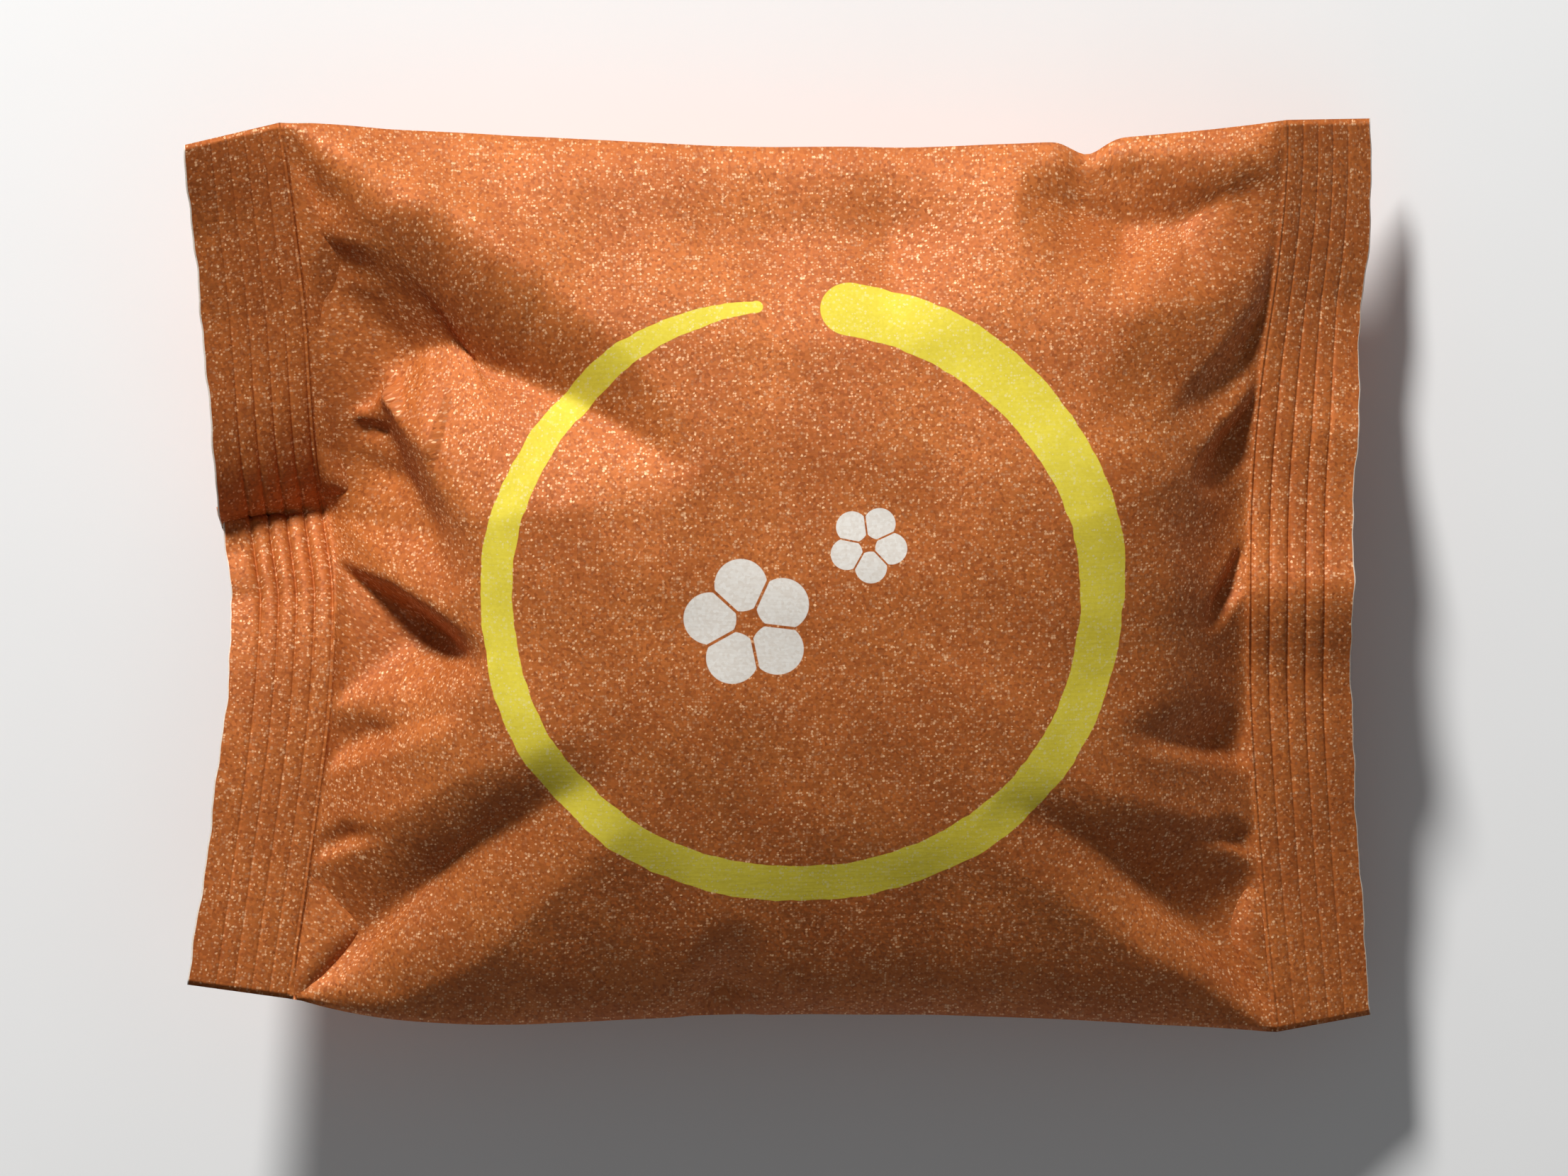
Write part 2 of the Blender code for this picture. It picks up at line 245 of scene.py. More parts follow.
def column_places():
    """Place across of each point of a column, and 1 for the face or -1 for the rear."""
    round_tube = np.arange(GIRTH) * (4 * HALF_TUBE / GIRTH)
    face = round_tube <= 2 * HALF_TUBE
    return np.where(face, round_tube - HALF_TUBE, 3 * HALF_TUBE - round_tube), np.where(face, 1.0, -1.0)


ACROSS, FACING = column_places()


def share_of(value):
    """A value held between 0 and 1."""
    return np.clip(value, 0.0, 1.0)


def bell(value, centre, reach):
    """1 at the centre, falling off smoothly on both sides of it."""
    return np.exp(-((value - centre) / reach) ** 2)


def turn_at(table, across):
    """Degrees from a table of places across the tube, as radians."""
    places, degrees = zip(*table)
    return np.radians(np.interp(across, places, degrees))


def seal_line(end, across):
    """Inner line of one seal in space, the direction in which the seal leaves it, and its run."""
    lean, slope, droop = [turn_at(table, across) for table in SEAL_TURNS[end]]
    run = np.stack([np.sin(lean) * np.cos(slope), np.cos(lean) * np.cos(slope), np.sin(slope)], -1)
    line = np.zeros((len(across), 3))
    line[1:] = np.cumsum(0.5 * (run[1:] + run[:-1]) * np.diff(across)[:, None], axis=0)
    line[:, :2] += SEAL_CORNER[end] - line[-1, :2]
    line[:, 2] += SEAL_HEIGHT - line[:, 2].mean()
    out = np.stack([end * np.cos(droop), np.zeros_like(droop), -np.sin(droop)], -1)
    out -= run * (out * run).sum(-1, keepdims=True)
    out /= np.linalg.norm(out, axis=-1, keepdims=True)
    return line, out, run


def seal_column(end):
    """The seal's inner line as a column: out over the face and back over the rear of the tube."""
    across = np.linspace(-HALF_TUBE, HALF_TUBE, GIRTH // 2 + 1)
    return [np.concatenate([part, part[-2:0:-1]]) for part in seal_line(end, across)]


def soft_minimum(first, second):
    """The lower of two shares, with the ridge where they meet rounded off."""
    lower = np.minimum(first, second)
    blend = 0.5 * (first + second) * (1.0 - lower) + 1e-9
    overlap = share_of(1.0 - np.abs(first - second) / blend)
    return lower - 0.25 * blend * overlap ** 2


def body_columns():
    """Places along the body, closer together towards the seals."""
    share = np.linspace(-1.0, 1.0, BODY_COLUMNS)
    return HALF_BODY * ((1.0 - CROWDING) * share + CROWDING * np.sin(0.5 * math.pi * share))


def fullness(along, across):
    """Share of its full rise that the paper has at each place over the cake."""
    room = np.where(across > CAKE_OFFSET, HALF_TUBE - CAKE_OFFSET, HALF_TUBE + CAKE_OFFSET)
    power_along = np.where(FACING > 0, *FULLNESS_ALONG)
    power_across = np.where(FACING > 0, *FULLNESS_ACROSS)
    from_ends = share_of(1.0 - np.abs(along / HALF_BODY) ** power_along) ** END_TAPER
    from_folds = share_of(1.0 - np.abs((across - CAKE_OFFSET) / room) ** power_across)
    return soft_minimum(from_ends, from_folds)


def smooth_body(columns):
    """The swollen tube without its folds, drawn out to the bent seals, and its swelling."""
    along, across = np.meshgrid(columns, ACROSS, indexing="ij")
    bow = share_of(1.0 - (along / HALF_BODY) ** 2) * (1.0 + BOW_SKEW * along / HALF_BODY)
    tuck = EDGE_BOW * bow * (across / HALF_TUBE) ** 2 * np.sign(across)
    tuck += NICK_DEPTH * bell(along, NICK_PLACE, NICK_REACH) * share_of(across / HALF_TUBE) ** NICK_POWER
    rise = np.where(FACING > 0, FACE_RISE, -REAR_RISE) * fullness(along, across)
    rise += FACING * HEM_ROUND * bow * (1.0 - np.exp((np.abs(across) - HALF_TUBE) / HEM_WIDTH))
    points = np.stack([along, across - tuck, SEAL_HEIGHT + rise], -1)
    for end in (-1, 1):
        line = seal_column(end)[0]
        flat = np.stack([np.full(GIRTH, end * HALF_BODY), ACROSS, np.full(GIRTH, SEAL_HEIGHT)], -1)
        drawn = share_of(1.0 - (HALF_BODY - end * along) / END_DRAW) ** 2
        points += drawn[..., None] * (line - flat)
    return points, np.abs(rise)


def fold_depth(fold, x, y):
    """How deep one fold sinks at each place: steep at its line, easing out at its reach."""
    rounding, stations = fold[0], np.array(fold[1:], dtype=float)
    nearest = np.full(x.shape, np.inf)
    depth = np.zeros(x.shape)
    for first, last in zip(stations[:-1], stations[1:]):
        run_x, run_y = last[:2] - first[:2]
        share = share_of(((x - first[0]) * run_x + (y - first[1]) * run_y) / (run_x ** 2 + run_y ** 2))
        off_x, off_y = x - first[0] - share * run_x, y - first[1] - share * run_y
        distance = np.hypot(off_x, off_y)
        deep, left, right = [first[k] + share * (last[k] - first[k]) for k in (2, 3, 4)]
        reach = np.where(run_x * off_y - run_y * off_x > 0, left, right)
        eased = (np.sqrt(distance ** 2 + rounding ** 2) - rounding) / reach
        here = deep * share_of(1.0 - eased) ** FOLD_POWER
        depth = np.where(distance < nearest, here, depth)
        nearest = np.minimum(nearest, distance)
    return depth


def within_room(sink, room):
    """Folds held to the room that the paper has, while what stands proud stays as it is."""
    return np.where(sink > 0, sink / (1.0 + (np.abs(sink) / room) ** 4) ** 0.25, sink)


def handling_waves(x, y):
    """Slight unevenness of the handled paper, from a few crossing waves."""
    rng = np.random.default_rng(WAVE_SEED)
    height = np.zeros(x.shape)
    for _ in range(WAVE_COUNT):
        turn, phase = rng.uniform(0.0, 2 * math.pi, 2)
        length = rng.uniform(*WAVE_LENGTHS)
        wave = np.sin(2 * math.pi * (x * math.cos(turn) + y * math.sin(turn)) / length + phase)
        height += WAVE_STEEPNESS * length * wave
    return height


def sheet_normals(points):
    """Outward normals of the paper tube at each point of its grid."""
    beside = np.roll(points, -1, 1) - np.roll(points, 1, 1)
    normal = np.cross(np.gradient(points, axis=0), beside)
    return normal / (np.linalg.norm(normal, axis=-1, keepdims=True) + 1e-9)


def folded_body(columns):
    """Press the folds and the slight waves into the smooth tube, and rest it on the floor."""
    points, swelling = smooth_body(columns)
    x, y = points[..., 0], points[..., 1]
    face = sum(fold_depth(fold, x, y) for fold in FACE_FOLDS)
    rear = sum(fold_depth(fold, x, y) for fold in REAR_FOLDS)
    room = swelling * np.where(x < 0, LEFT_GIVE, RIGHT_GIVE) + LEAST_GIVE
    sink = within_room(np.where(FACING > 0, face, rear), room)
    sink -= handling_waves(x, y + REAR_SHIFT * FACING)
    from_end = HALF_BODY - np.abs(columns)[:, None]
    from_fold = HALF_TUBE - np.abs(ACROSS)[None, :]
    sink = sink * share_of(from_end / END_FADE) * share_of(HEM_SHARE + from_fold / HEM_FADE)
    points = points - sheet_normals(points) * sink[..., None]
    floor = points[..., 2].min() + FLAT_SPOT
    points[..., 2] = np.maximum(points[..., 2] - floor, 0.0) + FIN_ROOM
    return points


def groove_centres():
    """Distances of the grooves' centres from the cut edge."""
    return [CUT_MARGIN + groove * GROOVE_PITCH for groove in range(GROOVE_COUNT)]


def groove_depth(from_cut):
    """Pressed grooves of the crimp, rounded at their shoulders."""
    depth = np.zeros_like(from_cut)
    for centre in groove_centres():
        share = share_of(np.abs(from_cut - centre) / (GROOVE_WIDTH / 2))
        depth = np.maximum(depth, GROOVE_DEPTH * (1.0 - share) ** GROOVE_POWER)
    return depth


def pleat_depth(from_cut):
    """Waves in step with the grooves, narrow and deepest at each groove and broad between them."""
    turn = 2 * math.pi * (from_cut - CUT_MARGIN) / GROOVE_PITCH
    inside = share_of(np.minimum(from_cut - PLEAT_START, SEAL_WIDTH - from_cut + PLEAT_INNER_SHARE))
    return PLEAT_DEPTH * (0.5 + 0.5 * np.cos(turn + 0.5 * np.sin(turn))) * inside


def cut_waver(across):
    """How far the knife strayed from a straight cut."""
    return sum(height * np.sin(across / length + phase) for height, length, phase in KNIFE_WAVES)


def seal_columns():
    """Distances from the seal's inner line to its cut edge, close together in the grooves."""
    places = [0.0, CUT_RIM, SEAL_WIDTH]
    for centre in groove_centres():
        places += [centre + GROOVE_WIDTH / 2 * share for share in GROOVE_COLUMNS]
    from_cut = sorted(place for place in places if 0.0 <= place <= SEAL_WIDTH)
    filled = [from_cut[0]]
    for place in from_cut[1:]:
        parts = math.ceil((place - filled[-1]) / COLUMN_GAP)
        filled += list(np.linspace(filled[-1], place, parts + 1)[1:])
    return SEAL_WIDTH - np.array(filled[::-1])


def seal_band(end, line):
    """Points of one crimped seal outside its inner line, and their places along the flat paper."""
    out, run = seal_column(end)[1:]
    away = seal_columns()[1:]
    from_cut = SEAL_WIDTH - away
    normal = np.cross(run, out) * -end
    layer = FACING * HALF_SEAL * np.sqrt(share_of(1.0 - (ACROSS / HALF_TUBE) ** 8))
    bite = LEAST_BITE + (1.0 - LEAST_BITE) * bell(ACROSS, 0.0, BITE_REACH)
    rise = layer[None, :] - groove_depth(from_cut)[:, None] * bite
    if end < 0:
        rise -= pleat_depth(from_cut)[:, None] * bell(ACROSS, PLEAT_PLACE, PLEAT_REACH)
    near_cut = share_of(1.0 - from_cut / KNIFE_REACH)
    reach = away[:, None] + near_cut[:, None] * cut_waver(ACROSS + KNIFE_SHIFT * end)
    return line + out * reach[..., None] + normal * rise[..., None], end * (HALF_BODY + away)


def whole_tube():
    """The folded body between its two seals, as one grid, with each column's place along."""
    columns = body_columns()
    body = folded_body(columns)
    left, left_along = seal_band(-1, body[0])
    right, right_along = seal_band(1, body[-1])
    body[[0, -1], :, 2] += FACING * HALF_SEAL * 0.5
    return np.concatenate([left[::-1], body, right]), np.concatenate([left_along[::-1], columns, right_along])


def tube_faces(column_count):
    """Quads of the tube, column by column, and the strips that close its two cut edges."""
    index = np.arange(column_count * GIRTH).reshape(column_count, GIRTH)
    beside = np.roll(index, -1, axis=1)
    sheet = np.stack([index[:-1], index[1:], beside[1:], beside[:-1]], -1).reshape(-1, 4).tolist()
    closing = []
    half = GIRTH // 2
    for edge, flip in ((index[0].tolist(), False), (index[-1].tolist(), True)):
        for j in range(half):
            corners = [edge[j], edge[j + 1], edge[GIRTH - j - 1], edge[-j]]
            if j == 0:
                corners = [edge[0], edge[1], edge[-1]]
            elif j == half - 1:
                corners = [edge[j], edge[half], edge[half + 1]]
            closing.append(corners[::-1] if flip else corners)
    return sheet, closing


def tube_places(along):
    """Place on the flat paper of each corner of the tube's quads."""
    around = np.arange(GIRTH + 1) * (4 * HALF_TUBE / GIRTH) - HALF_TUBE
    places = np.zeros((len(along) - 1, GIRTH, 4, 2))
    places[:, :, (0, 3), 0] = along[:-1, None, None]
    places[:, :, (1, 2), 0] = along[1:, None, None]
    places[:, :, :2, 1] = around[:-1, None]
    places[:, :, 2:, 1] = around[1:, None]
    return places.reshape(-1, 2)


def paper_mesh(name, points, faces, places):
    """A smooth mesh from points in millimetres, with each corner's place on the flat paper."""
    mesh = bpy.data.meshes.new(name)
    mesh.from_pydata((points.reshape(-1, 3) * MM).tolist(), [], faces)
    flat_map = mesh.uv_layers.new(name="flat_paper")
    flat_map.uv.foreach_set("vector", places.astype(np.float32).ravel())
    mesh.shade_smooth()
    return mesh


def wrapper_mesh(points, along):
    """The paper tube, closed at its cut edges, which show the bare core of the paper."""
    sheet, closing = tube_faces(len(along))
    closing_corners = sum(len(face) for face in closing)
    places = np.concatenate([tube_places(along), np.full((closing_corners, 2), CORE_PLACE)])
    mesh = paper_mesh("wrapper", points, sheet + closing, places)
    core = np.zeros(len(mesh.polygons), dtype=np.int32)
    core[:GIRTH] = 1
    core[len(sheet) - GIRTH:] = 1
    mesh.polygons.foreach_set("material_index", core)
    return mesh


def rear_lines(grid, wanted):
    """Values of a grid at the wanted places across its rear, column by column."""
    rear = np.arange(GIRTH - 1, GIRTH // 2, -1)
    lines = np.zeros((len(grid), len(wanted), 3))
    for column, line in zip(grid, lines):
        for axis in range(3):
            line[:, axis] = np.interp(wanted, ACROSS[rear], column[rear, axis])
    return lines


def fin_faces(column_count):
    """Both sides of the seam's band, and the strip round its rim that joins them."""
    index = np.arange(column_count * FIN_ROWS).reshape(column_count, FIN_ROWS)
    cells = np.stack([index[:-1, :-1], index[1:, :-1], index[1:, 1:], index[:-1, 1:]], -1).reshape(-1, 4)
    faces = cells.tolist() + (cells[:, ::-1] + index.size).tolist()
    rim = np.concatenate([index[:, 0], index[-1, 1:], index[-2::-1, -1], index[0, -2:0:-1]]).tolist()
    for first, last in zip(rim, rim[1:] + rim[:1]):
        faces.append([last, first, first + index.size, last + index.size])
    return faces


def fin_mesh(points, along):
    """The lengthwise seam: a band folded down on the back, crimped like the ends."""
    shares = np.linspace(-1.0, 1.0, FIN_ROWS)
    wanted = FIN_CENTRE + shares * FIN_WIDTH / 2
    spine = rear_lines(points, wanted)
    outward = rear_lines(sheet_normals(points), wanted)
    ridges = np.cos(2 * math.pi * shares * GROOVE_COUNT)
    lifted = FIN_GAP + FIN_CURL * share_of((CURL_SHARE - 1.0 - shares) / CURL_SHARE) ** 2
    inner = spine + outward * lifted[None, :, None]
    outer = spine + outward * (lifted + FIN_THICKNESS + FIN_RIDGE * ridges)[None, :, None]
    inner[..., 2] = np.maximum(inner[..., 2], FIN_ROOM - FIN_BEDDING)
    outer[..., 2] = np.maximum(outer[..., 2], FLOOR_GAP + PRESSED_RIDGE * (1.0 + ridges))
    faces = fin_faces(len(along))
    one_side = np.stack([np.repeat(along, FIN_ROWS), np.tile(wanted + SEAM_PLACE, len(along))], -1)
    places = np.tile(one_side, (2, 1))[np.concatenate(faces)]
    return paper_mesh("back_seam", np.stack([inner, outer]), faces, places)


# Colours of the coating, from its pits to its flecks
COPPER = (0.54, 0.150, 0.026, 1.0)
COPPER_DEEP = (0.45, 0.114, 0.018, 1.0)
COPPER_STREAK = (0.55, 0.175, 0.043, 1.0)
COPPER_PIT = (0.30, 0.066, 0.010, 1.0)
FLECK = (0.97, 0.57, 0.30, 1.0)

# Inks
RING_YELLOW = (0.76, 0.63, 0.055, 1.0)
RING_DEEP = (0.64, 0.515, 0.034, 1.0)
BLOSSOM_WHITE = (0.80, 0.76, 0.70, 1.0)
BLOSSOM_DEEP = (0.66, 0.58, 0.50, 1.0)

# Bare paper at the cut edges, from dark to pale
CORE_COLOURS = ((0.62, 0.48, 0.36, 1.0), (0.86, 0.80, 0.72, 1.0))

# Flecks: cell size in mm, share of the cells that shine, and how far a flake tips. A flake's reach
# in its cell is the first number and up to the second more, and fades at its edge.
FLECK_SIZE = 0.30
FLECK_SHARE = 0.5
FLECK_TIP = 0.16
FLAKE_REACH = (0.35, 0.5)
FLAKE_EDGE = (1.0, 0.45)
FLAKE_POWER = 1.8

# Noise of the paper by scale per mm and detail, and the relief of its fibres, in metres
STREAK_NOISE = (1.0, 3.0)
STREAK_STRETCH = (0.35, 2.6, 1.0)
MOTTLE_NOISE = (0.09, 4.0)
FINE_NOISE = (1.6, 3.0)
FINE_SHARE = 0.5
FIBRE_STRENGTH = 0.25
FIBRE_HEIGHT = 0.00005

# How the coating varies. A ramp is the lowest and highest value, and what they turn into where
# that isn't 0 and 1. Metal and roughness run from bare coating to a bright fleck.
TONE_RAMP = (0.3, 0.7)
STREAK_RAMP = (0.35, 0.75, 0.0, 0.35)
CLUSTER_RAMP = (0.6, 0.9, 0.35, 0.95)
PIT_POWER = 2.0
PIT_SHARE = 0.75
COATING_GLOSS = 0.34
METAL_RAMP = (0.0, 0.6, 0.2, 0.15)
ROUGHNESS_RAMP = (0.0, 0.6, 0.66, 0.55)

# How the inks vary, and how much rougher they are than the coating
INK_MOTTLE_RAMP = (0.35, 0.65, 0.0, 0.6)
YELLOW_GRAIN = 0.4
YELLOW_FLECKS = 0.25
WHITE_GRAIN = 0.6
INK_ROUGHER = 0.12

# Brush ring on the flat paper: centre, radius to the middle of the stroke, where the stroke starts
# and how far it goes, clockwise from the top, and its width by share of its way round. The width
# curve runs from 0 to 1, which stands for WIDTH_SCALE.
RING_CENTRE = (1.6, -0.3, 0.0)
RING_RADIUS = 34.4
RING_START = math.radians(9.8)
RING_SWEEP = math.radians(342.3)
RING_WIDTHS = ((0.0, 6.7), (0.03, 6.7), (0.08, 6.4), (0.15, 5.8), (0.22, 5.2), (0.3, 4.9), (0.5, 4.5),
               (0.7, 4.1), (0.8, 3.8), (0.88, 3.4), (0.93, 2.8), (0.97, 2.1), (1.0, 1.5))
WIDTH_SCALE = 10.0
WIDTH_WOBBLE = 0.5
WOBBLE_NOISE = (0.35, 2.0)
INK_EDGE = 0.06
STROKE_END = 0.0005

# Blossoms: centre, radius and turn of each. The lines below are in shares of the radius: where a
# petal's centre lies, and where its edge, the open middle and the slits between petals fade.
BLOSSOMS = (((-4.0, -3.0, 0.0), 7.6, 0.2), ((9.5, 6.0, 0.0), 4.6, 0.75))
PETAL_COUNT = 5
PETAL_PLACE = 0.58
PETAL_EDGE = (0.40, 0.385)
MIDDLE_EDGE = (0.13, 0.15)
SLIT_EDGE = (0.015, 0.03)

FLOAT, VECTOR = "NodeSocketFloat", "NodeSocketVector"


def feed(tree, socket, value):
    """Link a socket to another one, or set it to a plain value."""
    if isinstance(value, bpy.types.NodeSocket):
        tree.links.new(value, socket)
    else:
        socket.default_value = value


def add_node(tree, kind, settings=None, **inputs):
    """Add a node; inputs named in_0, in_1 or by their own name take a value or a socket."""
    node = tree.nodes.new(kind)
    for name, value in (settings or {}).items():
        setattr(node, name, value)
    for name, value in inputs.items():
        key = int(name[3:]) if name.startswith("in_") else name.replace("_", " ")
        feed(tree, node.inputs[key], value)
    return node


def calc(tree, operation, first, second=0.0, third=0.0, clamp=False):
    """Result of a sum on values."""
    settings = {"operation": operation, "use_clamp": clamp}
    inputs = {"in_0": first, "in_1": second}
    if operation in ("MULTIPLY_ADD", "WRAP"):
        inputs["in_2"] = third
    return add_node(tree, "ShaderNodeMath", settings, **inputs).outputs[0]


def vector_calc(tree, operation, **inputs):
    """Node for a sum on vectors."""
    return add_node(tree, "ShaderNodeVectorMath", {"operation": operation}, **inputs)


def ramp_between(tree, value, low, high, to_low=0.0, to_high=1.0):
    """Map a value smoothly from one range to another."""
    return add_node(tree, "ShaderNodeMapRange", {"interpolation_type": "SMOOTHSTEP"}, Value=value,
                    From_Min=low, From_Max=high, To_Min=to_low, To_Max=to_high).outputs[0]


def mix_colour(tree, share, first, second):
    """The first colour, with a share of the second mixed in."""
    node = add_node(tree, "ShaderNodeMix", {"data_type": "RGBA"}, in_0=share, in_6=first, in_7=second)
    return node.outputs[2]


def flat_noise(tree, place, scale, detail):
    """Noise over the flat paper."""
    return add_node(tree, "ShaderNodeTexNoise", {"noise_dimensions": "2D"}, Vector=place, Scale=scale,
                    Detail=detail).outputs[0]


def new_group(name, inputs, outputs):
    """A shader node group with its named sockets, and its input and output nodes."""
    group = bpy.data.node_groups.new(name, "ShaderNodeTree")
    for socket, kind in inputs:
        group.interface.new_socket(name=socket, in_out="INPUT", socket_type=kind)
    for socket, kind in outputs:
        group.interface.new_socket(name=socket, in_out="OUTPUT", socket_type=kind)
    return group, group.nodes.new("NodeGroupInput").outputs, group.nodes.new("NodeGroupOutput").inputs


def placed(tree, group, **inputs):
    """A node group set into a material, with its own values."""
    node = tree.nodes.new("ShaderNodeGroup")
    node.node_tree = group
    for name, value in inputs.items():
        feed(tree, node.inputs[name], value)
    return node.outputs


def pearl_fleck_group():
    """Pearl flakes in the coating: a pale mask, and normals that tip each flake its own way."""
    group, given, result = new_group(
        "pearl_flecks",
        [("Place", VECTOR), ("Size", FLOAT), ("Share", FLOAT), ("Tip", FLOAT), ("Normal", VECTOR)],
        [("Mask", FLOAT), ("Shade", FLOAT), ("Normal", VECTOR)])
    cells = add_node(group, "ShaderNodeTexVoronoi", {"voronoi_dimensions": "2D", "feature": "F1"},
                     Vector=given["Place"], Scale=calc(group, "DIVIDE", 1.0, given["Size"]))
    first, second, third = add_node(group, "ShaderNodeSeparateColor", Color=cells.outputs["Color"]).outputs
    chosen = calc(group, "GREATER_THAN", first, calc(group, "SUBTRACT", 1.0, given["Share"]))
    least, more = FLAKE_REACH
    reach = calc(group, "MULTIPLY_ADD", third, more, least)
    spot = ramp_between(group, calc(group, "DIVIDE", cells.outputs["Distance"], reach), *FLAKE_EDGE)
    bright = calc(group, "MULTIPLY", chosen, calc(group, "POWER", second, FLAKE_POWER))
    centred = vector_calc(group, "SUBTRACT", in_0=cells.outputs["Color"], in_1=(0.5, 0.5, 0.5)).outputs[0]
    tip = vector_calc(group, "SCALE", in_0=centred, Scale=given["Tip"]).outputs[0]
    tipped = vector_calc(group, "ADD", in_0=given["Normal"], in_1=tip).outputs[0]
    feed(group, result["Mask"], calc(group, "MULTIPLY", bright, spot))
    feed(group, result["Shade"], third)
    feed(group, result["Normal"], vector_calc(group, "NORMALIZE", in_0=tipped).outputs[0])
    return group


def paper_fibre_group():
    """Faint fibres along the paper, and the soft unevenness of a sheet that has been handled."""
    group, given, result = new_group(
        "paper_fibres", [("Place", VECTOR)], [("Streaks", FLOAT), ("Mottle", FLOAT), ("Relief", FLOAT)])
    stretched = vector_calc(group, "MULTIPLY", in_0=given["Place"], in_1=STREAK_STRETCH).outputs[0]
    streaks = flat_noise(group, stretched, *STREAK_NOISE)
    fine = flat_noise(group, given["Place"], *FINE_NOISE)
    feed(group, result["Streaks"], streaks)
    feed(group, result["Mottle"], flat_noise(group, given["Place"], *MOTTLE_NOISE))
    feed(group, result["Relief"], calc(group, "MULTIPLY_ADD", fine, FINE_SHARE, streaks))
    return group


def from_centre(tree, place, centre):
    """Distance and clockwise angle from the top, seen from a point of the flat paper."""
    moved = vector_calc(tree, "SUBTRACT", in_0=place, in_1=centre).outputs[0]
    parts = add_node(tree, "ShaderNodeSeparateXYZ", Vector=moved).outputs
    distance = vector_calc(tree, "LENGTH", in_0=moved).outputs["Value"]
    return distance, calc(tree, "ARCTAN2", parts[0], parts[1])


def stroke_width(tree, share):
    """Half the width of the brush stroke in mm, by share of its way round."""
    node = add_node(tree, "ShaderNodeFloatCurve", Value=share)
    curve = node.mapping.curves[0]
    stops = [(place, width / WIDTH_SCALE) for place, width in RING_WIDTHS]
    curve.points[0].location = stops[0]
    curve.points[1].location = stops[-1]
    for stop in stops[1:-1]:
        curve.points.new(*stop)
    node.mapping.update()
    return calc(tree, "MULTIPLY", node.outputs[0], WIDTH_SCALE / 2)


def brush_ring_group():
    """Open ring of one brush stroke: a thick round start, thinning clockwise to a fine end."""
    group, given, result = new_group("brush_ring", [("Place", VECTOR)], [("Mask", FLOAT)])
    wobble = flat_noise(group, given["Place"], *WOBBLE_NOISE)
    radius, angle = from_centre(group, given["Place"], RING_CENTRE)
    off_line = calc(group, "ABSOLUTE", calc(group, "SUBTRACT", radius, RING_RADIUS))
    strayed = calc(group, "MULTIPLY_ADD", wobble, WIDTH_WOBBLE, -WIDTH_WOBBLE / 2)
    off_line = calc(group, "ADD", off_line, strayed)
    turned = calc(group, "WRAP", calc(group, "SUBTRACT", angle, RING_START), 2 * math.pi, 0.0)
    share = calc(group, "DIVIDE", turned, RING_SWEEP)
    inside = calc(group, "SUBTRACT", stroke_width(group, share), off_line)
    reached = ramp_between(group, calc(group, "SUBTRACT", 1.0, share), -STROKE_END, STROKE_END)
    mask = calc(group, "MULTIPLY", ramp_between(group, inside, -INK_EDGE, INK_EDGE), reached)
    for turn, width in ((RING_START, RING_WIDTHS[0][1]), (RING_START + RING_SWEEP, RING_WIDTHS[-1][1])):
        tip = (RING_CENTRE[0] + RING_RADIUS * math.sin(turn), RING_CENTRE[1] + RING_RADIUS * math.cos(turn),
               RING_CENTRE[2])
        from_tip = from_centre(group, given["Place"], tip)[0]
        round_tip = ramp_between(group, calc(group, "SUBTRACT", width / 2, from_tip), -INK_EDGE, INK_EDGE)
        mask = calc(group, "MAXIMUM", mask, round_tip)
    feed(group, result["Mask"], mask)
    return group


def blossom_group():
    """A plain blossom with five round petals and a small open middle."""
    group, given, result = new_group(
        "five_petal_blossom", [("Place", VECTOR), ("Centre", VECTOR), ("Radius", FLOAT), ("Turn", FLOAT)],
        [("Mask", FLOAT)])
    distance, angle = from_centre(group, given["Place"], given["Centre"])
    radius = calc(group, "DIVIDE", distance, given["Radius"])
    petal = 2 * math.pi / PETAL_COUNT
    sector = calc(group, "WRAP", calc(group, "ADD", angle, given["Turn"]), petal / 2, -petal / 2)
    ahead = calc(group, "MULTIPLY", radius, calc(group, "COSINE", sector))
    out = calc(group, "SUBTRACT", ahead, PETAL_PLACE)
    side = calc(group, "MULTIPLY", radius, calc(group, "SINE", sector))
    squares = [calc(group, "MULTIPLY", part, part) for part in (out, side)]
    from_petal = calc(group, "SQRT", calc(group, "ADD", *squares))
    petals = ramp_between(group, from_petal, *PETAL_EDGE)
    middle = ramp_between(group, radius, *MIDDLE_EDGE)
    from_slit = calc(group, "SUBTRACT", petal / 2, calc(group, "ABSOLUTE", sector))
    slit = ramp_between(group, calc(group, "MULTIPLY", from_slit, radius), *SLIT_EDGE)
    feed(group, result["Mask"], calc(group, "MULTIPLY", calc(group, "MULTIPLY", petals, middle), slit))
    return group


def new_material(name):
    """An empty material, its node tree and its main shader's inputs."""
    material = bpy.data.materials.new(name)
    material.use_nodes = True
    return material, material.node_tree, material.node_tree.nodes["Principled BSDF"].inputs


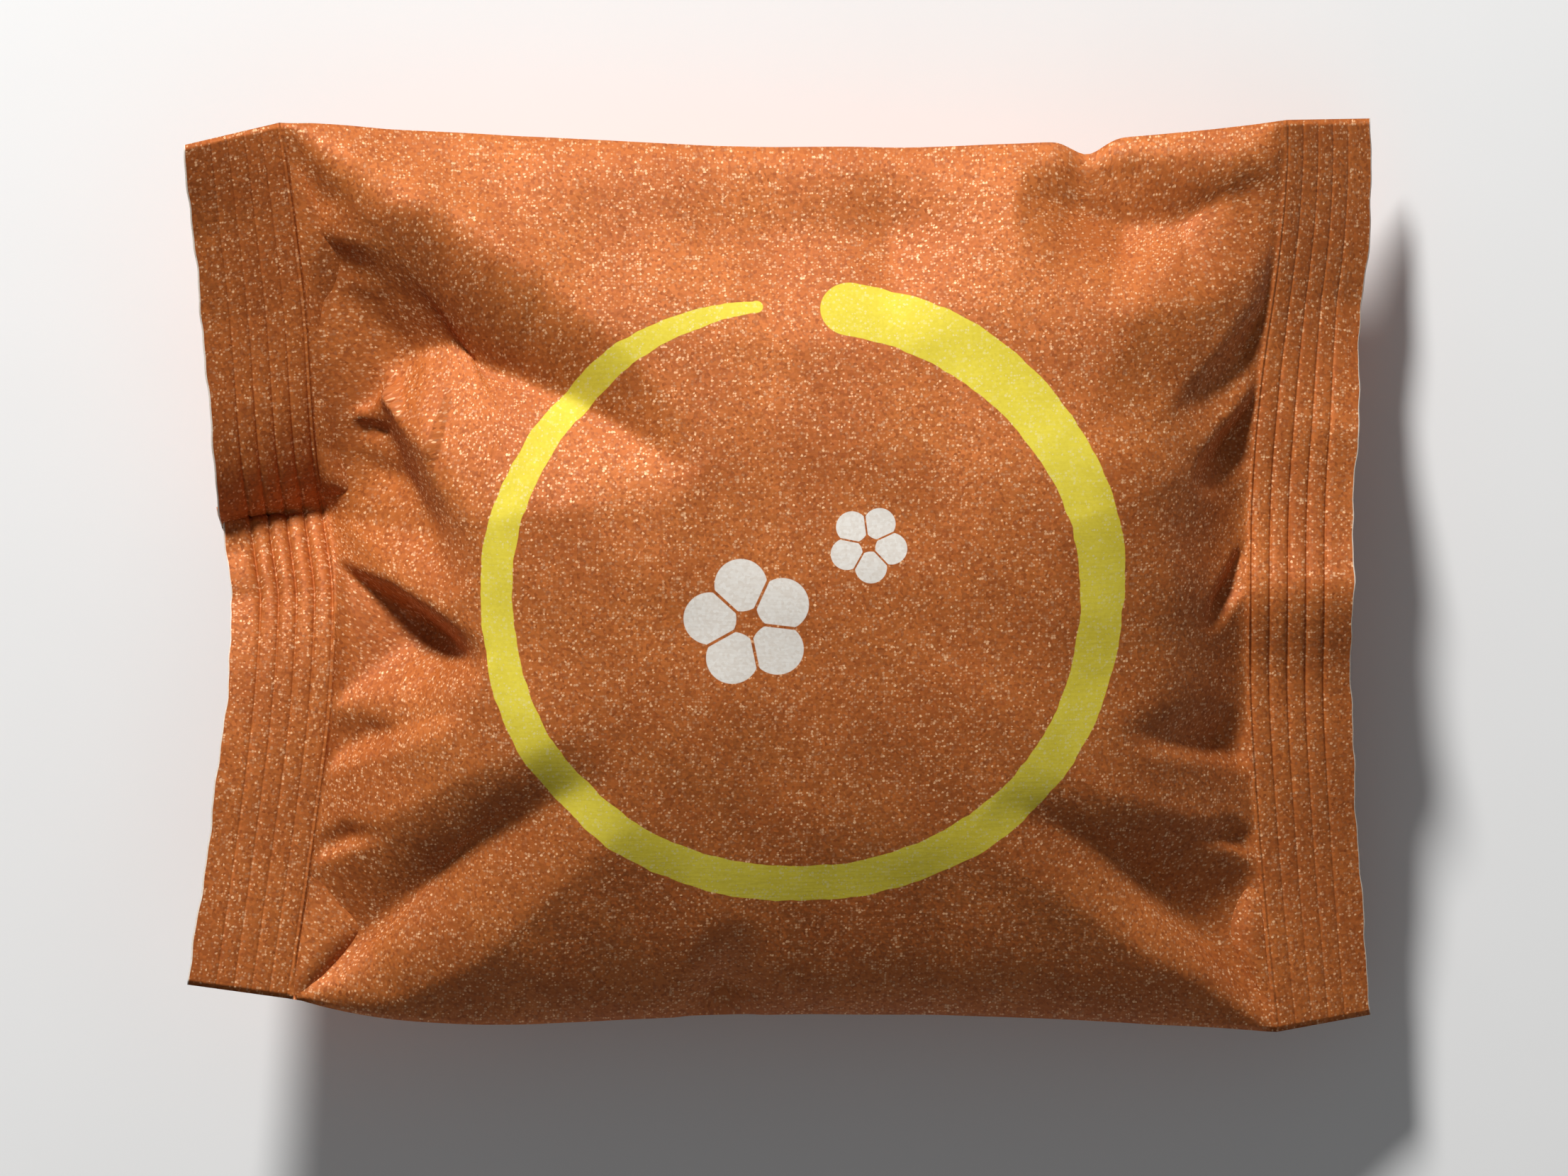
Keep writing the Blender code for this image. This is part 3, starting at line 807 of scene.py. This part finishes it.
def copper_coating(tree, groups, place):
    """Looks of the copper pearl coating, with the fibres, flecks and plain bump that it is made of."""
    fibres = placed(tree, groups["fibres"], Place=place)
    tone = ramp_between(tree, fibres["Mottle"], *TONE_RAMP)
    colour = mix_colour(tree, tone, COPPER_DEEP, COPPER)
    streak = ramp_between(tree, fibres["Streaks"], *STREAK_RAMP)
    colour = mix_colour(tree, streak, colour, COPPER_STREAK)
    bump = add_node(tree, "ShaderNodeBump", Height=fibres["Relief"], Strength=FIBRE_STRENGTH,
                    Distance=FIBRE_HEIGHT).outputs[0]
    flecks = placed(tree, groups["flecks"], Place=place, Size=FLECK_SIZE, Share=FLECK_SHARE, Tip=FLECK_TIP,
                    Normal=bump)
    pits = calc(tree, "MULTIPLY", calc(tree, "POWER", flecks["Shade"], PIT_POWER), PIT_SHARE)
    colour = mix_colour(tree, pits, colour, COPPER_PIT)
    cluster = ramp_between(tree, fibres["Relief"], *CLUSTER_RAMP)
    colour = mix_colour(tree, calc(tree, "MULTIPLY", flecks["Mask"], cluster), colour, FLECK)
    looks = {
        "Base Color": colour,
        "Metallic": ramp_between(tree, flecks["Mask"], *METAL_RAMP),
        "Roughness": ramp_between(tree, flecks["Mask"], *ROUGHNESS_RAMP),
        "Normal": flecks["Normal"],
    }
    return looks, fibres, flecks, bump


def print_face(tree, groups, place, looks, fibres, flecks, bump):
    """Lay the ring and the blossoms over the coating, in matt ink that is a little uneven."""
    ink = placed(tree, groups["ring"], Place=place)[0]
    mottle = ramp_between(tree, fibres["Mottle"], *INK_MOTTLE_RAMP)
    ink_tone = calc(tree, "MULTIPLY_ADD", flecks["Shade"], YELLOW_GRAIN, mottle)
    yellow = mix_colour(tree, ink_tone, RING_DEEP, RING_YELLOW)
    yellow_flecks = calc(tree, "MULTIPLY", flecks["Mask"], YELLOW_FLECKS)
    yellow = mix_colour(tree, yellow_flecks, yellow, BLOSSOM_WHITE)
    white_grain = calc(tree, "MULTIPLY", flecks["Shade"], WHITE_GRAIN)
    white = mix_colour(tree, white_grain, BLOSSOM_WHITE, BLOSSOM_DEEP)
    colour = mix_colour(tree, ink, looks["Base Color"], yellow)
    for centre, radius, turn in BLOSSOMS:
        blossom = placed(tree, groups["blossom"], Place=place, Centre=centre, Radius=radius, Turn=turn)[0]
        colour = mix_colour(tree, blossom, colour, white)
        ink = calc(tree, "MAXIMUM", ink, blossom)
    bare = calc(tree, "SUBTRACT", 1.0, ink, clamp=True)
    normal = add_node(tree, "ShaderNodeMix", {"data_type": "VECTOR"}, in_0=ink, in_4=looks["Normal"],
                      in_5=bump)
    return {
        "Base Color": colour,
        "Metallic": calc(tree, "MULTIPLY", looks["Metallic"], bare),
        "Roughness": calc(tree, "MULTIPLY_ADD", ink, INK_ROUGHER, looks["Roughness"]),
        "Normal": normal.outputs[1],
    }


def copper_paper(groups, name, printed):
    """Copper pearl coating on paper, with the print on it where the piece has the face."""
    material, tree, shader = new_material(name)
    place = add_node(tree, "ShaderNodeUVMap", {"uv_map": "flat_paper"}).outputs[0]
    looks, fibres, flecks, bump = copper_coating(tree, groups, place)
    if printed:
        looks = print_face(tree, groups, place, looks, fibres, flecks, bump)
    for key, socket in looks.items():
        feed(tree, shader[key], socket)
    shader["Specular IOR Level"].default_value = COATING_GLOSS
    return material


def speckled_material(name, colours, scale, detail, roughness):
    """A matt material whose colour varies between two shades."""
    material, tree, shader = new_material(name)
    place = add_node(tree, "ShaderNodeTexCoord").outputs["Object"]
    grain = add_node(tree, "ShaderNodeTexNoise", Vector=place, Scale=scale, Detail=detail).outputs[0]
    feed(tree, shader["Base Color"], mix_colour(tree, grain, *colours))
    shader["Roughness"].default_value = roughness
    return material


def add_object(name, mesh, *materials):
    """Put a mesh into the scene with its materials."""
    for material in materials:
        mesh.materials.append(material)
    made = bpy.data.objects.new(name, mesh)
    bpy.context.scene.collection.objects.link(made)
    return made


def build_pack():
    """The wrapper and the seam on its back."""
    groups = {"flecks": pearl_fleck_group(), "fibres": paper_fibre_group(), "ring": brush_ring_group(),
              "blossom": blossom_group()}
    printed = copper_paper(groups, "copper_paper", True)
    plain = copper_paper(groups, "copper_paper_seam", False)
    core = speckled_material("paper_core", CORE_COLOURS, scale=2500.0, detail=2.0, roughness=0.9)
    points, along = whole_tube()
    wrapper = add_object("wrapper", wrapper_mesh(points, along), printed, core)
    seam = add_object("back_seam", fin_mesh(points, along), plain)
    for piece in (wrapper, seam):
        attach(piece, "root")
        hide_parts(NODE)


# Floor and lights, in metres and watts
FLOOR_HALF = 6.0
FLOOR_COLOURS = ((0.895, 0.90, 0.90, 1.0), (0.915, 0.92, 0.92, 1.0))
LIGHTS = (
    # Name, place, diameter, power and colour
    ("key", (-0.28, 0.78, 0.50), 0.18, 12.9, (1.0, 0.99, 0.975)),
    ("fill", (0.5, -0.7, 1.2), 1.2, 0.6, (1.0, 1.0, 1.0)),
)
LIGHT_AIM = Vector((0.0, 0.0, 0.01))
SKY_COLOUR = (0.96, 0.98, 1.0, 1.0)
SKY_STRENGTH = 0.14

# The camera stands over the pack, a little beyond its far fold
CAMERA_AIM = Vector((0.0, -0.001, 0.012))
CAMERA_TILT = math.radians(6.0)
CAMERA_DISTANCE = 1.2
CAMERA_LENS = 240.0


def add_floor():
    """A wide pale floor, which is not part of the pack."""
    mesh = bpy.data.meshes.new("floor")
    corners = [(x * FLOOR_HALF, y * FLOOR_HALF, 0) for x, y in ((-1, -1), (1, -1), (1, 1), (-1, 1))]
    mesh.from_pydata(corners, [], [(0, 1, 2, 3)])
    pale = speckled_material("pale_floor", FLOOR_COLOURS, scale=60.0, detail=3.0, roughness=0.7)
    add_object("floor", mesh, pale)


def add_lights():
    """Round lamps aimed at the pack."""
    for name, place, size, watts, colour in LIGHTS:
        lamp = bpy.data.lights.new(name, "AREA")
        lamp.shape = "DISK"
        lamp.size = size
        lamp.energy = watts
        lamp.color = colour
        made = bpy.data.objects.new(name, lamp)
        made.location = place
        made.rotation_euler = (LIGHT_AIM - Vector(place)).to_track_quat("-Z", "Y").to_euler()
        bpy.context.scene.collection.objects.link(made)


def add_sky():
    """Weak even light from all round, and plain colours."""
    world = bpy.data.worlds.new("studio")
    world.use_nodes = True
    background = world.node_tree.nodes["Background"].inputs
    background["Color"].default_value = SKY_COLOUR
    background["Strength"].default_value = SKY_STRENGTH
    bpy.context.scene.world = world
    bpy.context.scene.view_settings.view_transform = "Standard"


def add_camera():
    """A long lens that looks down on the printed face."""
    camera = bpy.data.cameras.new("camera")
    camera.lens = CAMERA_LENS
    made = bpy.data.objects.new("camera", camera)
    back = Vector((0.0, math.sin(CAMERA_TILT), math.cos(CAMERA_TILT)))
    made.location = CAMERA_AIM + back * CAMERA_DISTANCE
    made.rotation_mode = "QUATERNION"
    made.rotation_quaternion = Quaternion((1.0, 0.0, 0.0), -CAMERA_TILT)
    bpy.context.scene.collection.objects.link(made)
    bpy.context.scene.camera = made


build_pack()
add_floor()
add_lights()
add_sky()
add_camera()
